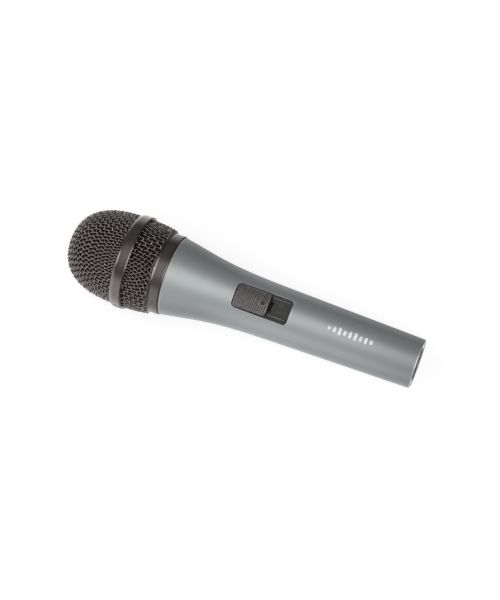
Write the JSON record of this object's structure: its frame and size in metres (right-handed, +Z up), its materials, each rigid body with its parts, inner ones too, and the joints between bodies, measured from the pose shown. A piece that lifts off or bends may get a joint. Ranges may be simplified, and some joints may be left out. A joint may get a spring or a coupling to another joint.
{
  "type": "dynamic microphone",
  "caption": "Hand-held vocal microphone with a woven ball grille that unscrews, a flared metal handle, a recessed slide switch and a plug socket in its tail.",
  "frame": {"origin": "middle of the bounding box, on the ground that the microphone lies on", "axes": "+Z up, towards the switch; +X along the microphone from the grille to the tail, level; the microphone's own axis falls by 4.57 degrees towards the tail as it rests on its band and its tail edge"},
  "size_m": [0.1806, 0.0474, 0.0476],
  "materials": {
    "handle_paint": "satin metallic grey paint on a zinc casting",
    "mesh_wire": "woven steel wire, dark grey plated",
    "dark_nickel": "polished black nickel plating",
    "foam": "open-cell foam",
    "slider_metal": "ribbed metal, dark nickel plated",
    "switch_plastic": "matte moulded black",
    "black_rubber": "matte rubber",
    "brass": "turned brass",
    "bright_nickel": "satin nickel plating",
    "connector_plastic": "moulded black",
    "tinned_brass": "silver plated brass",
    "capsule_plastic": "moulded dark grey",
    "cap_metal": "stamped and perforated aluminium",
    "film": "thin clear polyester film",
    "coil_wire": "copper clad aluminium wire, bonded",
    "magnet_nickel": "nickel plated magnet",
    "magnet_steel": "soft steel, zinc plated",
    "felt": "pressed felt",
    "fibre_board": "fibre laminate",
    "bracket_steel": "zinc plated steel",
    "wire_red": "red insulation",
    "wire_white": "white insulation"
  },
  "bodies": {
    "handle": {"handle_shell": "handle_paint", "neck_collar": "brass", "capsule_housing": "capsule_plastic", "resonator_cap": "cap_metal", "surround_clamp": "capsule_plastic", "diaphragm_surround": "film", "yoke_cup": "magnet_steel", "magnet": "magnet_nickel", "pole_piece": "magnet_steel", "acoustic_felt": "felt", "rear_chamber": "capsule_plastic", "terminal_board": "fibre_board", "solder_lugs": "tinned_brass", "shock_mount": "black_rubber", "capsule_ring": "brass", "switch_plate": "switch_plastic", "switch_case": "switch_plastic", "switch_board": "fibre_board", "switch_terminals": "tinned_brass", "switch_bracket": "bracket_steel", "bracket_screws": "bracket_steel", "xlr_shell": "bright_nickel", "contact_disc": "connector_plastic", "xlr_pins": "tinned_brass", "set_screw": "bracket_steel", "ground_spring": "tinned_brass", "wire_pin_to_switch": "wire_red", "wire_pin_to_capsule": "wire_white", "wire_switch_to_capsule": "wire_red"},
    "slider": {"switch_slider": "slider_metal", "switch_lever": "switch_plastic", "switch_contact": "tinned_brass"},
    "gasket": {"neck_gasket": "black_rubber"},
    "grille": {"grille_mesh_front": "mesh_wire", "grille_mesh_rear": "mesh_wire", "grille_band": "dark_nickel", "grille_base_ring": "dark_nickel", "foam_windscreen": "foam"},
    "moving_coil": {"diaphragm_dome": "film", "voice_coil": "coil_wire"}
  },
  "joints": [
    {"name": "switch_slide", "type": "slide", "parent": "handle", "child": "slider", "axis": [0.9968, 0, -0.0798], "range_m": [0, 0.01]},
    {"name": "grille_lift", "type": "slide", "parent": "handle", "child": "gasket", "axis": [-0.9968, 0, 0.0798], "range_m": [0, 0.005]},
    {"name": "grille_turn", "type": "hinge", "parent": "gasket", "child": "grille", "pos_m": [-0.04028, 0, 0.0225], "axis": [-0.9968, 0, 0.0798], "range_deg": [0, 1800]},
    {"name": "coil_travel", "type": "slide", "parent": "handle", "child": "moving_coil", "axis": [-0.9968, 0, 0.0798], "range_m": [-0.0003, 0.0003], "stiffness_N_per_m": 150, "deforming": ["diaphragm_surround"]}
  ],
  "couplings": [
    {"joint": "grille_lift", "follows": "grille_turn", "m_per_rad": 0.00015915}
  ]
}
